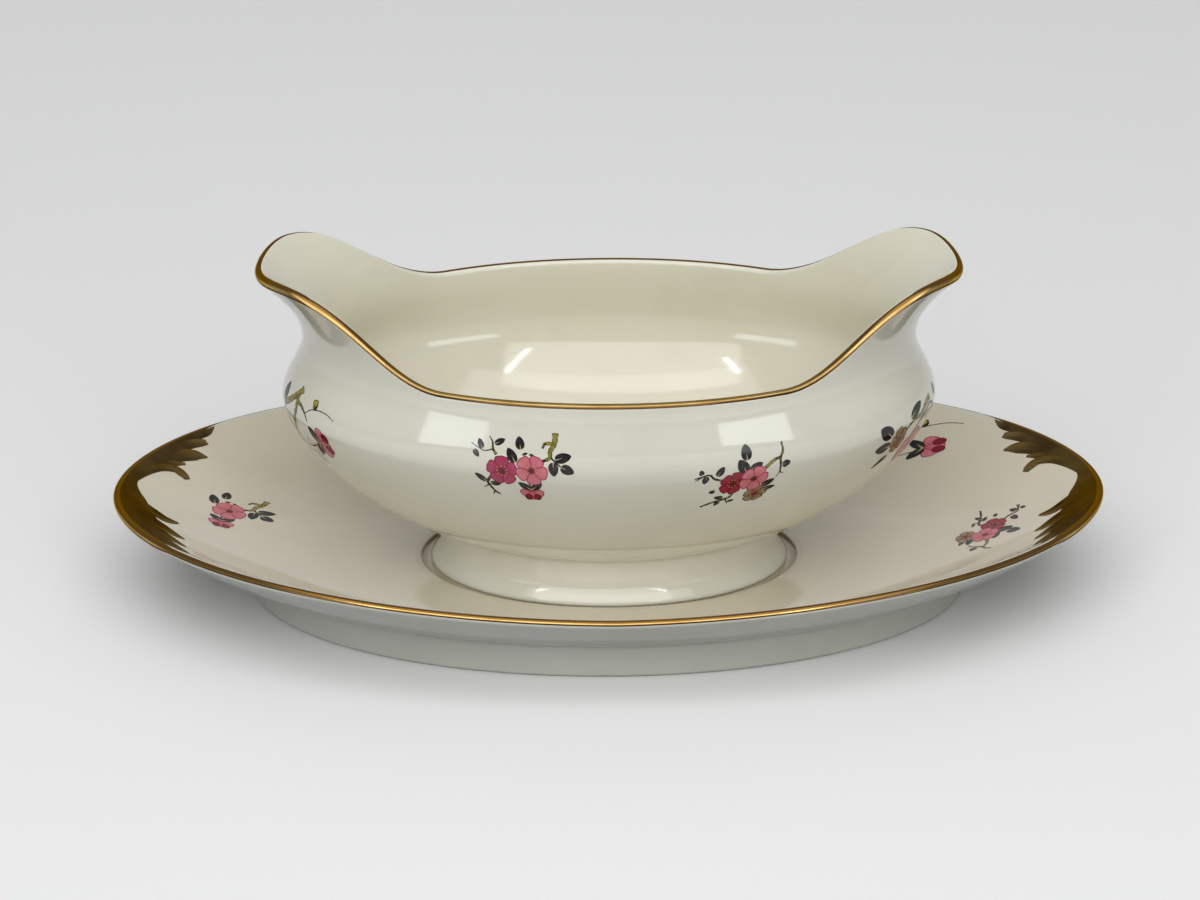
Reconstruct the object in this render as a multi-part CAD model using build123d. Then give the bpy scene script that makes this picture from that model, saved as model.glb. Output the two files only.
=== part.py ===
from build123d import *
import math
import os

# A double-lipped gravy boat that sits loose in the shallow well of its own
# oval stand.  X runs from lip to lip, Y across, Z up.  The origin is on the
# table, under the middle of the stand.  All sizes are in millimetres.

# ---- sauce boat, heights above its own foot ----
LIP_LENGTH = 165.8        # over the tips of the two pouring lips
LIP_WIDTH = 90.0          # width of the bowl's oval carried up to the tips
LIP_TIP_HEIGHT = 73.4
LIP_CREST_HEIGHT = 75.1   # crest of the rim, a little inside each tip
LIP_CREST_INSET = 5.8     # from the tip in to the crest
RIM_SIDE_HEIGHT = 58.4    # low part of the rim along each side
RIM_LEVEL_LENGTH = 78.0   # how much of that part is level
WAIST_LENGTH = 144.0      # the narrow part under the flare of the lips
WAIST_WIDTH = 96.2
WAIST_HEIGHT = 58.0
BELLY_LENGTH = 154.0
BELLY_WIDTH = 101.0
BELLY_HEIGHT = 43.0
NECK_LENGTH = 79.4        # where the foot meets the bowl's underside
NECK_WIDTH = 54.8
NECK_HEIGHT = 11.5
BOAT_FOOT_LENGTH = 85.4
BOAT_FOOT_WIDTH = 60.8
BOAT_FOOT_WALL = 4.2
BOAT_FOOT_WAIST = 0.4     # share of the foot's height up to which it flares
BOAT_FOOT_FLARE = 0.75    # share of the flare that is over at that height
BOAT_FOOT_ROOF_EDGE = 1.5  # slope between the hollow foot's wall and its roof
BOAT_WALL = 2.8
BOAT_LIP_WALL = 2.3       # the wall thins to this at the lip

# ---- stand, heights above the table ----
STAND_LENGTH = 236.0
STAND_WIDTH = 145.0       # width of the dish's oval carried up to the tips' height
STAND_TIP_HEIGHT = 25.5   # rim at the two ends
STAND_SIDE_HEIGHT = 21.7  # rim in the middle of the sides
STAND_FLOOR_HEIGHT = 7.3
STAND_WALL = 3.2
STAND_LIP_WALL = 2.1
RING_LENGTH = 170.4       # foot ring, measured at the table
RING_WIDTH = 107.2
RING_TAPER = 0.8          # how far the ring draws in from the plate to the table
RING_WALL = 4.8
WELL_DEPTH = 0.8
WELL_END_CLEARANCE = 2.2  # from the boat's foot to the well's edge, at the ends
WELL_SIDE_CLEARANCE = 0.6
WELL_SHOULDER = 1.6       # level floor between the well's edge and the dish
SEAT_GAP = 0.05           # from the floor of the well to the boat's foot

# ---- fired gold ----
GOLD = 0.14
GOLD_GAP = 0.1            # keeps the gold's solid clear of the glaze under it
GILT_LINE = 0.7           # how far the stand's gold reaches down past the round of its lip
GILT_TIP = 7.5            # the same at the stand's two ends, where the gold broadens
GILT_TIP_LENGTH = 34.0    # how far along the stand the broad gold reaches from each end

# ---- rounded edges ----
FOOT_EDGE_ROUND = 1.0
BOAT_JOINT_ROUND = 1.8    # hollow where the boat's foot meets the bowl
RING_JOINT_ROUND = 2.0    # hollow where the foot ring meets the plate, outside
RING_JOINT_SLOPE = 3.4    # slope where it meets the plate, inside

# ---- shape of the curves ----
ELLIPSE = 0.5523          # handle length at which four cubics make an ellipse
UNDERSIDE_POWER = 1.36    # 1 is a quarter ellipse, more is flatter
DISH_POWER = 2.6          # how sharply the stand turns up towards its rim
STAND_RIM_POWER = 1.3     # more holds the stand's rim low for longer from the sides
BOAT_END_HANDLE = 0.37    # handles of the pointed ovals at the boat's lips
BOAT_SIDE_HANDLE = 0.67
BOAT_POINT_START = 36.5   # height above the boat's foot where they begin
STAND_END_HANDLE = 0.42   # the same at the stand's rim
STAND_SIDE_HANDLE = 0.67

# ---- where the surfaces are drawn through ----
BOAT_RISES = (0.04, 0.1, 0.2, 0.32, 0.45, 0.58, 0.7, 0.81, 0.9, 0.96, 1.0)
STAND_RISES = (0.12, 0.26, 0.4, 0.55, 0.7, 0.82, 0.92, 0.97, 1.0)
LIP_ANGLES = (36, 72, 108, 144)
BOAT_GILT_ANGLES = (25, 55, 85, 115)
STAND_GILT_ANGLES = (60, 95, 130, 165)
GILT_SHARES = (0.4, 1.0)  # of its reach down inside the stand's rim
QUARTER_STEPS = 10        # points that carry each quarter of an oval
STAND_GILT_STEPS = 16     # the same for the gold, which broadens quickly

WELL_FLOOR_HEIGHT = STAND_FLOOR_HEIGHT - WELL_DEPTH
BOAT_BASE_HEIGHT = WELL_FLOOR_HEIGHT + SEAT_GAP


def blend(start, end, share):
    return start + (end - start) * share


def ease(share):
    """0 to 1 with a level start and end."""
    return (1 - math.cos(math.pi * min(max(share, 0), 1))) / 2


# ---------------------------------------------------------------- ovals ----
class Oval:
    """A level oval made of four cubic quarters.  Handles longer than an
    ellipse's make it fuller, and shorter ones more pointed."""

    def __init__(self, half_length, half_width, height, end_handle=ELLIPSE, side_handle=ELLIPSE):
        self.half_length = half_length
        self.half_width = half_width
        self.height = height
        self.end_handle = end_handle
        self.side_handle = side_handle

    def point(self, turn):
        """Point on the first quarter, from the end (0) to the side (1)."""
        rest = 1 - turn
        along = rest ** 3 + 3 * rest ** 2 * turn + 3 * rest * turn ** 2 * self.side_handle
        across = 3 * rest ** 2 * turn * self.end_handle + 3 * rest * turn ** 2 + turn ** 3
        return Vector(self.half_length * along, self.half_width * across, self.height)


def closed_wire(quarter_point, steps=QUARTER_STEPS):
    """A closed smooth wire from a function that gives its first quarter."""
    points = []
    for quarter, (sx, sy) in enumerate(((1, 1), (-1, 1), (-1, -1), (1, -1))):
        for step in range(steps):
            turn = step / steps
            point = quarter_point(turn if quarter % 2 == 0 else 1 - turn)
            points.append(Vector(sx * point.X, sy * point.Y, point.Z))
    knots = [float(i) for i in range(len(points) + 1)]
    return Wire([Edge.make_spline(points, periodic=True, parameters=knots)])


def wires_at(point_at, rises):
    """One closed wire for each rise, from a function of a turn and a rise."""
    return [closed_wire(lambda turn, rise=rise: point_at(turn, rise)) for rise in rises]


def oval_wire(half_sizes, out, height):
    """A level ellipse, its half sizes made larger by out."""
    return closed_wire(Oval(half_sizes[0] + out, half_sizes[1] + out, height).point)


def arc_points(centre, radius, start, end, steps=3):
    """Points (out, up) on an arc about a centre, angles in degrees from out."""
    angles = [math.radians(blend(start, end, i / steps)) for i in range(steps + 1)]
    return [(centre[0] + radius * math.cos(a), centre[1] + radius * math.sin(a)) for a in angles]


def capped_solid(stretches):
    """A solid turned on ovals.  Each stretch is a list of wires under one
    smooth surface, and starts with the wire that the one before ended with.
    The first and last wires are level and get flat caps."""
    faces = [Face(stretches[0][0])]
    for wires in stretches:
        first, last = sorted((wires[0], wires[-1]), key=lambda wire: wire.length)
        if len(wires) == 2 and abs(first.center().Z - last.center().Z) < 0.001:
            faces.append(Face(last, [first]))
        else:
            faces += Shell.make_loft(wires).faces()
    faces.append(Face(stretches[-1][-1]))
    return Solid(Shell(faces))


def closed_skin(over, under):
    """A thin closed band between an upper and a lower list of wires."""
    loop = over + under[::-1] + over[:1]
    return Solid(Shell(Shell.make_loft(loop, ruled=True).faces()))


def foot_ring(outer, wall, base, top_inside):
    """Stretches of wires down a foot ring's inner face from top_inside, round
    its flat base, and on to the outer face."""
    edge = FOOT_EDGE_ROUND
    inner_round = [oval_wire(outer, out, base + up) for out, up in arc_points((edge - wall, edge), edge, 180, 270)]
    outer_round = [oval_wire(outer, out, base + up) for out, up in arc_points((-edge, edge), edge, -90, 0)]
    inner_face = [oval_wire(outer, -wall, top_inside), inner_round[0]]
    return [inner_face, inner_round, [inner_round[-1], outer_round[0]], outer_round]


class Dish:
    """A dish's wall.  oval_at gives the oval of the guiding surface at a
    level, and rim_at the rim's height at an x.  outside and inside give how
    far the wall's two faces lie from that surface at each rise, which runs
    from 0 at the floor to 1 at the rim."""

    def __init__(self, oval_at, rim_at, floor_level, top_level, outside, inside):
        self.oval_at = oval_at
        self.rim_at = rim_at
        self.floor_level = floor_level
        self.top_level = top_level
        self.outside = outside
        self.inside = inside
        self.rim_levels = {}

    def rim_level(self, turn):
        """Level at which the line up the wall at this turn meets the rim."""
        if turn in self.rim_levels:
            return self.rim_levels[turn]
        low, high = self.floor_level, self.top_level
        for _ in range(40):
            middle = (low + high) / 2
            point = self.oval_at(middle).point(turn)
            if point.Z < self.rim_at(point.X):
                low = middle
            else:
                high = middle
        self.rim_levels[turn] = low
        return low

    def surface(self, turn, rise):
        """Point of the guiding surface: level ovals low down, which take up
        the sweep of the rim as they near it."""
        tip = self.rim_level(0)
        level = blend(self.floor_level, tip, rise) - (tip - self.rim_level(turn)) * rise ** 3
        return self.oval_at(level).point(turn)

    def directions(self, turn, rise):
        """Unit vectors at a point: up the wall, and out of it."""
        step = 0.002
        around = self.surface(min(turn + step, 1), rise) - self.surface(max(turn - step, 0), rise)
        up = self.surface(turn, rise + step) - self.surface(turn, max(rise - step, 0))
        out = around.cross(up)
        if turn == 0:
            up, out = Vector(up.X, 0, up.Z), Vector(out.X, 0, out.Z)
        if turn == 1:
            up, out = Vector(0, up.Y, up.Z), Vector(0, out.Y, out.Z)
        return up.normalized(), out.normalized()

    def wall_point(self, turn, rise, offset):
        return self.surface(turn, rise) + self.directions(turn, rise)[1] * offset

    def lip_wire(self, degrees, grow=0, steps=QUARTER_STEPS):
        """An oval on the round lip: 0 outside, 90 on the crest, 180 inside."""
        middle = (self.outside(1) + self.inside(1)) / 2
        radius = self.lip_radius()
        across = (radius + grow) * math.cos(math.radians(degrees))
        above = (radius + grow) * math.sin(math.radians(degrees)) - radius

        def quarter_point(turn):
            up, out = self.directions(turn, 1)
            return self.surface(turn, 1) + out * (middle + across) + up * above
        return closed_wire(quarter_point, steps)

    def lip_radius(self):
        return (self.outside(1) - self.inside(1)) / 2

    def wall_rise(self, turn, drop):
        """Rise that lies a distance down the wall from the foot of the lip."""
        slope = (self.surface(turn, 1) - self.surface(turn, 0.99)).length / 0.01
        return 1 - (self.lip_radius() + drop) / slope

    def face_point(self, turn, rise, offset):
        """Point of a face of the wall, whose rise 1 is the foot of the lip."""
        return self.wall_point(turn, rise * self.wall_rise(turn, 0), offset)

    def outside_point(self, turn, rise):
        return self.face_point(turn, rise, self.outside(rise))

    def inside_point(self, turn, rise):
        return self.face_point(turn, rise, self.inside(rise))

    def wall_stretches(self, low, rises):
        """Stretches up the outside from above a low rise, over the lip, and
        down the inside."""
        outside = wires_at(self.outside_point, [rise for rise in rises if rise > low])
        inside = wires_at(self.inside_point, rises[::-1])
        lip = [self.lip_wire(degrees) for degrees in LIP_ANGLES]
        return outside, [outside[-1]] + lip + [inside[0]], inside

    def gilt_wires(self, lip_angles, reach, grow, steps):
        """Wires over the lip and, where there is a reach, on down the inside
        by it.  The reach is a function of the turn."""
        wires = [self.lip_wire(degrees, grow, steps) for degrees in lip_angles]
        for share in GILT_SHARES if reach else ():
            def quarter_point(turn, share=share):
                rise = self.wall_rise(turn, reach(turn) * share)
                return self.wall_point(turn, rise, self.inside(rise) - grow)
            wires.append(closed_wire(quarter_point, steps))
        return wires

    def gilding(self, lip_angles, reach=None, steps=QUARTER_STEPS):
        over = self.gilt_wires(lip_angles, reach, GOLD_GAP + GOLD, steps)
        under = self.gilt_wires(lip_angles, reach, GOLD_GAP, steps)
        return closed_skin(over, under)


# ----------------------------------------------------------- sauce boat ----
def boat_half_size(neck, belly, waist, lip, level):
    """Half size of the bowl at a level, the same rule along and across."""
    if level < BELLY_HEIGHT:
        drop = (BELLY_HEIGHT - level) / (BELLY_HEIGHT - NECK_HEIGHT)
        return blend(neck, belly, (1 - drop ** (2 / UNDERSIDE_POWER)) ** (UNDERSIDE_POWER / 2)) / 2
    if level < WAIST_HEIGHT:
        return blend(belly, waist, ease((level - BELLY_HEIGHT) / (WAIST_HEIGHT - BELLY_HEIGHT))) / 2
    return blend(waist, lip, ((level - WAIST_HEIGHT) / (LIP_TIP_HEIGHT - WAIST_HEIGHT)) ** 2) / 2


def boat_oval(level):
    point_share = min(max((level - BOAT_POINT_START) / (LIP_TIP_HEIGHT - BOAT_POINT_START), 0), 1)
    return Oval(
        boat_half_size(NECK_LENGTH, BELLY_LENGTH, WAIST_LENGTH, LIP_LENGTH, level),
        boat_half_size(NECK_WIDTH, BELLY_WIDTH, WAIST_WIDTH, LIP_WIDTH, level),
        level + BOAT_BASE_HEIGHT,
        blend(ELLIPSE, BOAT_END_HANDLE, point_share),
        blend(ELLIPSE, BOAT_SIDE_HANDLE, point_share),
    )


def boat_rim(x):
    """Height of the rim: level along the side, swept up to a crest near each
    tip, and down a little from there."""
    half = LIP_LENGTH / 2
    crest_x = half - LIP_CREST_INSET
    sweep = (abs(x) - RIM_LEVEL_LENGTH / 2) / (crest_x - RIM_LEVEL_LENGTH / 2)
    past_crest = max(abs(x) - crest_x, 0) / LIP_CREST_INSET
    height = blend(RIM_SIDE_HEIGHT, LIP_CREST_HEIGHT, ease(sweep))
    return height - (LIP_CREST_HEIGHT - LIP_TIP_HEIGHT) * past_crest ** 2 + BOAT_BASE_HEIGHT


def make_boat_dish():
    def inside(rise):
        return -blend(BOAT_WALL, BOAT_LIP_WALL, rise ** 2)
    return Dish(boat_oval, boat_rim, NECK_HEIGHT, 1.05 * LIP_CREST_HEIGHT, lambda rise: 0, inside)


def make_sauce_boat(dish):
    base = BOAT_BASE_HEIGHT
    neck_top = base + NECK_HEIGHT
    foot = (BOAT_FOOT_LENGTH / 2, BOAT_FOOT_WIDTH / 2)
    neck = (NECK_LENGTH / 2, NECK_WIDTH / 2)
    roof = oval_wire(neck, -BOAT_FOOT_WALL - BOAT_FOOT_ROOF_EDGE, neck_top)
    ring = foot_ring(foot, BOAT_FOOT_WALL, base, neck_top - BOAT_FOOT_ROOF_EDGE)
    waist = [blend(foot[i], neck[i], BOAT_FOOT_FLARE) for i in (0, 1)]
    joint = BOAT_JOINT_ROUND
    joint_round = [oval_wire(neck, out, neck_top + up) for out, up in arc_points((joint, -joint), joint, 180, 90)]
    foot_face = [ring[-1][-1], oval_wire(waist, 0, base + BOAT_FOOT_WAIST * NECK_HEIGHT), joint_round[0]]
    outside, lip, inside = dish.wall_stretches(0, BOAT_RISES)
    outside.insert(0, joint_round[-1])
    inside.append(oval_wire(neck, 0, neck_top + BOAT_WALL))
    return capped_solid([[roof, ring[0][0]]] + ring + [foot_face, joint_round, outside, lip, inside])


# ---------------------------------------------------------------- stand ----
def well_half_sizes():
    return (
        BOAT_FOOT_LENGTH / 2 + WELL_END_CLEARANCE,
        BOAT_FOOT_WIDTH / 2 + WELL_SIDE_CLEARANCE,
    )


def stand_oval(level):
    """Oval of the dish's upper face: level 0 is its floor, 1 the ends' rim."""
    well = well_half_sizes()
    return Oval(
        blend(well[0] + WELL_SHOULDER, (STAND_LENGTH - STAND_LIP_WALL) / 2, level),
        blend(well[1] + WELL_SHOULDER, (STAND_WIDTH - STAND_LIP_WALL) / 2, level),
        blend(STAND_FLOOR_HEIGHT, STAND_TIP_HEIGHT, level ** DISH_POWER),
        blend(ELLIPSE, STAND_END_HANDLE, level),
        blend(ELLIPSE, STAND_SIDE_HANDLE, level),
    )


def stand_rim(x):
    """Height of the rim, which rises from the sides to the ends."""
    share = min(abs(x) / (STAND_LENGTH / 2), 1)
    return blend(STAND_SIDE_HEIGHT, STAND_TIP_HEIGHT, math.sin(math.pi / 2 * share) ** STAND_RIM_POWER)


def make_stand_dish():
    def outside(rise):
        return blend(STAND_WALL, STAND_LIP_WALL, rise ** 2)
    return Dish(stand_oval, stand_rim, 0, 1.2, outside, lambda rise: 0)


def ring_rise(out):
    """Rise at which the dish is as long as the foot ring and out beyond it."""
    floor = well_half_sizes()[0] + WELL_SHOULDER
    return (RING_LENGTH / 2 + out - floor) / (STAND_LENGTH / 2 - floor)


def hollow_wire(low_point, high_point):
    """Wire half way round the hollow between two ovals: nearer the lower
    one's outline, and nearer the upper one's height."""
    def quarter_point(turn):
        low, high = low_point(turn), high_point(turn)
        return Vector(blend(low.X, high.X, 0.3), blend(low.Y, high.Y, 0.3), blend(low.Z, high.Z, 0.7))
    return closed_wire(quarter_point)


def make_stand(dish):
    well = well_half_sizes()
    under = STAND_FLOOR_HEIGHT - STAND_WALL
    ring = (RING_LENGTH / 2, RING_WIDTH / 2)
    inner_rise = ring_rise(-RING_WALL - RING_JOINT_SLOPE)
    beneath = [oval_wire(well, 0, under)] + wires_at(dish.outside_point, [inner_rise / 2, inner_rise])
    foot = foot_ring(ring, RING_WALL, 0, under + RING_JOINT_ROUND / 2)
    inner_joint = [beneath[-1], foot[0][0]]
    outer_rise = ring_rise(RING_TAPER + RING_JOINT_ROUND)
    shoulder = dish.outside_point(0, outer_rise).Z - RING_JOINT_ROUND
    shoulder_oval = Oval(ring[0] + RING_TAPER, ring[1] + RING_TAPER, shoulder)
    foot_face = [foot[-1][-1], closed_wire(shoulder_oval.point)]
    outside, lip, upper = dish.wall_stretches(outer_rise, STAND_RISES)
    outside.insert(0, closed_wire(lambda turn: dish.outside_point(turn, outer_rise)))
    hollow = hollow_wire(shoulder_oval.point, lambda turn: dish.outside_point(turn, outer_rise))
    joint_round = [foot_face[-1], hollow, outside[0]]
    floor = oval_wire(well, WELL_SHOULDER, STAND_FLOOR_HEIGHT)
    upper.append(floor)
    shelf = [floor, oval_wire(well, 0, STAND_FLOOR_HEIGHT)]
    well_wall = [shelf[-1], oval_wire(well, 0, WELL_FLOOR_HEIGHT)]
    stretches = [beneath, inner_joint] + foot + [foot_face, joint_round, outside, lip, upper, shelf, well_wall]
    return capped_solid(stretches)


# -------------------------------------------------------------- gilding ----
def make_boat_gilding(dish):
    return dish.gilding(BOAT_GILT_ANGLES)


def make_stand_gilding(dish):
    """A line round the rim that broadens towards the stand's two ends."""
    def reach(turn):
        x = dish.surface(turn, 1).X
        return blend(GILT_LINE, GILT_TIP, ease(1 - (STAND_LENGTH / 2 - x) / GILT_TIP_LENGTH))
    return dish.gilding(STAND_GILT_ANGLES, reach, STAND_GILT_STEPS)


def main():
    os.makedirs("parts", exist_ok=True)
    boat_dish = make_boat_dish()
    stand_dish = make_stand_dish()
    parts = {
        "stand": make_stand(stand_dish),
        "stand_gilding": make_stand_gilding(stand_dish),
        "sauce_boat": make_sauce_boat(boat_dish),
        "boat_gilding": make_boat_gilding(boat_dish),
    }
    for name, solid in parts.items():
        export_step(solid, f"parts/{name}.step")
        print(name, solid.is_valid, round(solid.volume), solid.bounding_box())


if __name__ == "__main__":
    main()
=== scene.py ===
import math

import bpy
import numpy as np
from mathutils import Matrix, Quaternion, Vector
from mathutils.geometry import delaunay_2d_cdt


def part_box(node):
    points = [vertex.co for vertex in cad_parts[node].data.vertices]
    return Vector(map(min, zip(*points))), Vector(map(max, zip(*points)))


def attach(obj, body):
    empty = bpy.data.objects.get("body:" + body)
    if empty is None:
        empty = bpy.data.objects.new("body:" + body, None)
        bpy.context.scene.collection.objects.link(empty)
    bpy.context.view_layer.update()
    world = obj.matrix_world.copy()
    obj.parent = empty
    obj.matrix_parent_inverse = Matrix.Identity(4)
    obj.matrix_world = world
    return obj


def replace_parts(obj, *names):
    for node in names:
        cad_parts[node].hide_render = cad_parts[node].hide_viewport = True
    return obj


# A gravy boat on its stand: glaze, gilding and painted blossom sprays.  The
# shapes are worked out in millimetres and turned into metres as meshes.

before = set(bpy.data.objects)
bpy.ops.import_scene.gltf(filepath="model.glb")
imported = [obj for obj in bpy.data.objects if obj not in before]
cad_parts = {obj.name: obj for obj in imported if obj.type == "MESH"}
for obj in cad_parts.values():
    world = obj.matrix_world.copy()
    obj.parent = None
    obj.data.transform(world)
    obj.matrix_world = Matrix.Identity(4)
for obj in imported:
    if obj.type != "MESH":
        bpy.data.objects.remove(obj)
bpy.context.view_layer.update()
MM = 0.001

# ---- boat, heights above its own foot ----
LIP_LENGTH, LIP_WIDTH = 165.8, 90.0
LIP_TIP_HEIGHT, LIP_CREST_HEIGHT, LIP_CREST_INSET = 73.4, 75.1, 5.8
RIM_SIDE_HEIGHT, RIM_LEVEL_LENGTH = 58.4, 78.0
WAIST_LENGTH, WAIST_WIDTH, WAIST_HEIGHT = 144.0, 96.2, 58.0
BELLY_LENGTH, BELLY_WIDTH, BELLY_HEIGHT = 154.0, 101.0, 43.0
NECK_LENGTH, NECK_WIDTH, NECK_HEIGHT = 79.4, 54.8, 11.5
FOOT_LENGTH, FOOT_WIDTH, FOOT_WALL = 85.4, 60.8, 4.2
FOOT_WAIST, FOOT_FLARE, FOOT_ROOF_EDGE = 0.4, 0.75, 1.5
BOAT_WALL, BOAT_LIP_WALL = 2.8, 2.3
BOAT_JOINT_ROUND, EDGE_ROUND = 1.8, 1.0
UNDERSIDE_POWER, BOAT_POINT_START = 1.36, 36.5
ELLIPSE, BOAT_END_HANDLE, BOAT_SIDE_HANDLE = 0.5523, 0.37, 0.67

# ---- stand, heights above the table ----
STAND_LENGTH, STAND_WIDTH = 236.0, 145.0
STAND_TIP_HEIGHT, STAND_SIDE_HEIGHT, STAND_FLOOR_HEIGHT = 25.5, 21.7, 7.3
STAND_WALL, STAND_LIP_WALL = 3.2, 2.1
STAND_END_HANDLE, STAND_SIDE_HANDLE = 0.42, 0.67
DISH_POWER, STAND_RIM_POWER = 2.6, 1.3
RING_LENGTH, RING_WIDTH, RING_TAPER, RING_WALL = 170.4, 107.2, 0.8, 4.8
RING_JOINT_ROUND, RING_JOINT_SLOPE = 2.0, 3.4
WELL_DEPTH, WELL_END_CLEARANCE, WELL_SIDE_CLEARANCE, WELL_SHOULDER = 0.8, 2.2, 0.6, 1.6

WELL = (FOOT_LENGTH / 2 + WELL_END_CLEARANCE, FOOT_WIDTH / 2 + WELL_SIDE_CLEARANCE)
WELL_FLOOR_HEIGHT = STAND_FLOOR_HEIGHT - WELL_DEPTH
BOAT_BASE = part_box("sauce_boat")[0].z / MM

# ---- meshes; a place round an oval is 0 at the right-hand tip, 1 at the back,
# 2 at the left-hand tip and 3 at the front ----
COLUMNS = 384             # steps round every ring of the two porcelain pieces
AROUND = np.arange(COLUMNS) * 4 / COLUMNS
RIM_AROUND = np.arange(COLUMNS * 2) * 2 / COLUMNS
LIP_ANGLES = range(0, 181, 15)
QUARTER_POINTS, HALVINGS = 801, 40      # for finding where a wall meets its rim
NUDGE = 0.002             # step of around and rise over which directions are taken


def blend(start, end, share):
    return start + (end - start) * share


def clip(values):
    return np.clip(values, 0.0, 1.0)


def ease(share):
    return (1 - np.cos(np.pi * clip(share))) / 2


# ----------------------------------------------------------------- walls ----
def quarters(around):
    """Turn on the first quarter, and the signs of x and y, at places round
    an oval."""
    around = np.mod(around, 4.0)
    quarter = np.floor(around).astype(int)
    part = around - quarter
    turn = np.where(quarter % 2 == 0, part, 1 - part)
    side = np.where((quarter == 0) | (quarter == 3), 1.0, -1.0)
    face = np.where(quarter < 2, 1.0, -1.0)
    return turn, side, face


def oval(half_length, half_width, turn, end_handle=ELLIPSE, side_handle=ELLIPSE):
    """A quarter of an oval as a curve with two handles, turn being 0 to 1."""
    rest = 1 - turn
    along = rest ** 3 + 3 * rest ** 2 * turn + 3 * rest * turn ** 2 * side_handle
    across = 3 * rest ** 2 * turn * end_handle + 3 * rest * turn ** 2 + turn ** 3
    return half_length * along, half_width * across


def unit(vectors):
    return vectors / np.linalg.norm(vectors, axis=-1, keepdims=True)


class Wall:
    """A dish's wall.  shape gives half length, half width, height and the two
    handles at a level, rim the height of the rim at an x, outside and inside
    the distance of the wall's faces from the guiding surface at a rise."""

    def __init__(self, shape, rim, low, high, outside, inside):
        self.shape, self.low = shape, low
        self.outside, self.inside = outside, inside
        self.lip = (outside(1.0) - inside(1.0)) / 2
        self.turns = np.linspace(0, 1, QUARTER_POINTS)
        self.levels = self.rim_levels(rim, high)
        self.around = np.linspace(0, 4, 2 * QUARTER_POINTS - 1)
        drop = 0.01
        below_rim = self.surface(self.around, 1 - drop)
        self.slopes = np.linalg.norm(self.surface(self.around, 1.0) - below_rim, axis=-1) / drop

    def rim_levels(self, rim, high):
        """Level at which the wall meets its rim, at each turn."""
        floor, top = np.full(QUARTER_POINTS, float(self.low)), np.full(QUARTER_POINTS, float(high))
        for _ in range(HALVINGS):
            middle = (floor + top) / 2
            x, _, z = self.quarter(self.turns, middle)
            below = z < rim(x)
            floor, top = np.where(below, middle, floor), np.where(below, top, middle)
        return floor

    def quarter(self, turn, level):
        half_length, half_width, z, end_handle, side_handle = self.shape(level)
        x, y = oval(half_length, half_width, turn, end_handle, side_handle)
        return x, y, z + 0 * x

    def surface(self, around, rise):
        """Point of the guiding surface: rise is 0 at its floor, 1 at the rim."""
        turn, side, face = quarters(np.asarray(around, float))
        tip, level_here = self.levels[0], np.interp(turn, self.turns, self.levels)
        level = blend(self.low, tip, rise) - (tip - level_here) * rise ** 3
        x, y, z = self.quarter(turn, level)
        return np.stack([x * side, y * face, z], -1)

    def directions(self, around, rise):
        """Unit vectors up the guiding surface and out of it."""
        around = np.asarray(around, float)
        along = self.surface(around + NUDGE, rise) - self.surface(around - NUDGE, rise)
        up = self.surface(around, rise + NUDGE) - self.surface(around, np.maximum(rise - NUDGE, 0))
        return unit(up), unit(np.cross(along, up))

    def top_rise(self, around):
        """Rise at which the wall's faces end and the round lip begins."""
        return 1 - self.lip / np.interp(np.mod(around, 4.0), self.around, self.slopes)

    def face(self, around, rise, inside=False, lift=0.0):
        """Point of the wall's outer or inner face, lifted off it."""
        offset = np.asarray(self.inside(rise) - lift if inside else self.outside(rise) + lift)
        rise = rise * self.top_rise(around)
        return self.surface(around, rise) + self.directions(around, rise)[1] * offset[..., None]

    def lip_point(self, around, degrees, lift=0.0):
        """Point on the round lip: 0 outside, 90 on the crest, 180 inside."""
        up, out = self.directions(around, 1.0)
        middle = (self.outside(1.0) + self.inside(1.0)) / 2
        angle = np.radians(degrees)[..., None]
        radius = self.lip + lift
        across, above = radius * np.cos(angle), radius * np.sin(angle) - self.lip
        return self.surface(around, 1.0) + out * (middle + across) + up * above


def boat_half_size(neck, belly, waist, lip, level):
    """Half the boat's length or width at a level, from its four main ones."""
    drop = clip((BELLY_HEIGHT - level) / (BELLY_HEIGHT - NECK_HEIGHT))
    low = blend(neck, belly, (1 - drop ** (2 / UNDERSIDE_POWER)) ** (UNDERSIDE_POWER / 2))
    middle = blend(belly, waist, ease((level - BELLY_HEIGHT) / (WAIST_HEIGHT - BELLY_HEIGHT)))
    flare = np.maximum(level - WAIST_HEIGHT, 0) / (LIP_TIP_HEIGHT - WAIST_HEIGHT)
    high = blend(waist, lip, flare ** 2)
    return np.where(level < BELLY_HEIGHT, low, np.where(level < WAIST_HEIGHT, middle, high)) / 2


def boat_shape(level):
    point_share = clip((level - BOAT_POINT_START) / (LIP_TIP_HEIGHT - BOAT_POINT_START))
    return (
        boat_half_size(NECK_LENGTH, BELLY_LENGTH, WAIST_LENGTH, LIP_LENGTH, level),
        boat_half_size(NECK_WIDTH, BELLY_WIDTH, WAIST_WIDTH, LIP_WIDTH, level),
        level + BOAT_BASE,
        blend(ELLIPSE, BOAT_END_HANDLE, point_share),
        blend(ELLIPSE, BOAT_SIDE_HANDLE, point_share),
    )


def boat_rim(x):
    crest_x = LIP_LENGTH / 2 - LIP_CREST_INSET
    sweep = (np.abs(x) - RIM_LEVEL_LENGTH / 2) / (crest_x - RIM_LEVEL_LENGTH / 2)
    past_crest = np.maximum(np.abs(x) - crest_x, 0) / LIP_CREST_INSET
    height = blend(RIM_SIDE_HEIGHT, LIP_CREST_HEIGHT, ease(sweep))
    return height - (LIP_CREST_HEIGHT - LIP_TIP_HEIGHT) * past_crest ** 2 + BOAT_BASE


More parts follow.
